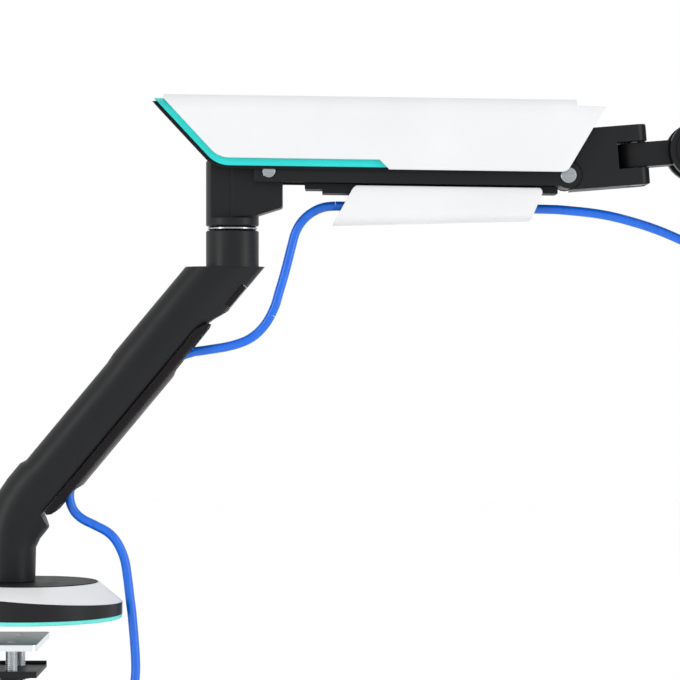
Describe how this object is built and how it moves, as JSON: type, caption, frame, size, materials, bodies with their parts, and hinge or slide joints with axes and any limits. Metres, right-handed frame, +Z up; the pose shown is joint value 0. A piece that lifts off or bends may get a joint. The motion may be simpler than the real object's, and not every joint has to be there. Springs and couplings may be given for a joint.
{
  "type": "monitor arm",
  "caption": "Desk-clamp monitor arm with a slanted lower arm, spring-balanced upper arm, tilting screen head and a screen cable clipped under its covers.",
  "frame": {"origin": "on the column's axis, at the underside of the desk pad, where it rests on the desk", "axes": "+Z up along the column, +X the way the lower and upper arms reach, +Y away from the viewer"},
  "size_m": [0.6323, 0.139, 0.6128],
  "materials": {
    "black_casting": "fine black powder coat on die-cast aluminium",
    "black_steel": "fine black powder coat on steel",
    "black_plastic": "fine-grained black moulding",
    "white_plastic": "satin white moulding",
    "teal_plastic": "satin teal moulding",
    "teal_rubber": "soft teal rubber",
    "smoke_plastic": "smoke-grey translucent moulding",
    "bush_plastic": "natural nylon",
    "steel": "zinc-plated steel",
    "spring_steel": "oiled dark spring steel",
    "nickel": "satin nickel plate",
    "cable_blue": "smooth blue cable jacket"
  },
  "bodies": {
    "base": {"desk_pad": "teal_rubber", "base_body": "black_casting", "base_skirt": "white_plastic", "base_cap": "black_plastic", "base_spindle": "steel", "clamp_bracket": "black_steel", "clamp_jaw": "black_steel", "jaw_screw_front": "steel", "jaw_screw_rear": "steel"},
    "press_plate": {"press_plate": "nickel"},
    "screw_front": {"clamp_screw_front": "steel", "clamp_knob_front": "black_plastic"},
    "screw_rear": {"clamp_screw_rear": "steel", "clamp_knob_rear": "black_plastic"},
    "lower_arm": {"lower_arm_casting": "black_casting", "lower_cable_cover": "smoke_plastic", "channel_end_cap": "smoke_plastic", "column_bush": "bush_plastic", "elbow_spindle": "steel", "elbow_ring": "nickel", "cable_lower": "cable_blue", "cable_coil": "cable_blue", "desk_plug": "black_plastic"},
    "elbow": {"elbow_block": "black_casting", "elbow_bush": "bush_plastic", "link_pin_rear": "steel", "spring_pin": "steel", "cable_loop_lower": "cable_blue"},
    "upper_arm": {"arm_channel": "black_casting", "arm_inner_shell": "black_plastic", "arm_trim_shell": "teal_plastic", "arm_cover": "white_plastic", "shell_bracket": "black_plastic", "lift_pin": "nickel", "head_pin": "nickel", "cover_clip_rear": "black_plastic", "cover_clip_front": "black_plastic", "upper_cable_cover": "white_plastic", "spring_seat": "steel", "lift_spring": "spring_steel", "cable_loop_upper": "cable_blue", "cable_upper": "cable_blue"},
    "spring_rod": {"spring_rod": "steel"},
    "parallel_link": {"parallel_link": "steel"},
    "head": {"yoke": "black_casting", "link_pin_front": "steel", "pan_pin": "steel", "cable_end": "cable_blue", "screen_plug": "black_plastic"},
    "pan_link": {"pan_link": "black_casting"},
    "tilt": {"tilt_bracket": "black_casting", "tilt_shaft": "steel", "tilt_cap_front": "black_plastic", "tilt_cap_rear": "black_plastic"},
    "screen": {"turn_hub": "black_casting", "screen_plate": "black_steel", "thumb_screw_upper_front": "steel", "thumb_screw_upper_rear": "steel", "thumb_screw_lower_front": "steel", "thumb_screw_lower_rear": "steel"}
  },
  "joints": [
    {"name": "clamp_slide", "type": "slide", "parent": "base", "child": "press_plate", "axis": [0, 0, 1], "range_m": [-0.012, 0.012]},
    {"name": "screw_front_turn", "type": "hinge", "parent": "press_plate", "child": "screw_front", "pos_m": [0.0045, -0.0275, -0.05], "axis": [0, 0, 1], "range_deg": [-2900, 2900]},
    {"name": "screw_rear_turn", "type": "hinge", "parent": "press_plate", "child": "screw_rear", "pos_m": [0.0045, 0.0275, -0.05], "axis": [0, 0, 1], "range_deg": [-2900, 2900]},
    {"name": "base_swivel", "type": "hinge", "parent": "base", "child": "lower_arm", "pos_m": [0, 0, 0.03], "axis": [0, 0, 1], "range_deg": [-90, 90]},
    {"name": "elbow_swivel", "type": "hinge", "parent": "lower_arm", "child": "elbow", "pos_m": [0.167, 0, 0.29], "axis": [0, 0, 1], "range_deg": [-90, 90], "deforming": ["cable_loop_lower"]},
    {"name": "lift", "type": "hinge", "parent": "elbow", "child": "upper_arm", "pos_m": [0.1949, 0, 0.3337], "axis": [0, -1, 0], "range_deg": [-35, 35], "deforming": ["lift_spring", "cable_loop_upper"]},
    {"name": "spring_rod_pivot", "type": "hinge", "parent": "elbow", "child": "spring_rod", "pos_m": [0.1949, 0, 0.3637], "axis": [0, -1, 0], "range_deg": [-36, 36]},
    {"name": "link_pivot", "type": "hinge", "parent": "elbow", "child": "parallel_link", "pos_m": [0.1949, 0, 0.3472], "axis": [0, -1, 0], "range_deg": [-36, 36]},
    {"name": "head_level", "type": "hinge", "parent": "upper_arm", "child": "head", "pos_m": [0.41738, 0, 0.33059], "axis": [0, -1, 0], "range_deg": [-36, 36], "deforming": ["cable_end"]},
    {"name": "head_pan", "type": "hinge", "parent": "head", "child": "pan_link", "pos_m": [0.46812, 0, 0.34612], "axis": [-0.0785, 0, 0.9969], "range_deg": [-60, 60]},
    {"name": "screen_tilt", "type": "hinge", "parent": "pan_link", "child": "tilt", "pos_m": [0.51517, 0, 0.34982], "axis": [0, -1, 0], "range_deg": [-20, 60]},
    {"name": "screen_turn", "type": "hinge", "parent": "tilt", "child": "screen", "pos_m": [0.55, 0, 0.34982], "axis": [1, 0, 0], "range_deg": [-90, 90]}
  ],
  "couplings": [
    {"joint": "screw_front_turn", "follows": "clamp_slide", "rad_per_m": 4188.8},
    {"joint": "screw_rear_turn", "follows": "clamp_slide", "rad_per_m": 4188.8},
    {"joint": "spring_rod_pivot", "follows": "lift", "ratio": 1},
    {"joint": "link_pivot", "follows": "lift", "ratio": 1},
    {"joint": "head_level", "follows": "lift", "ratio": -1}
  ]
}
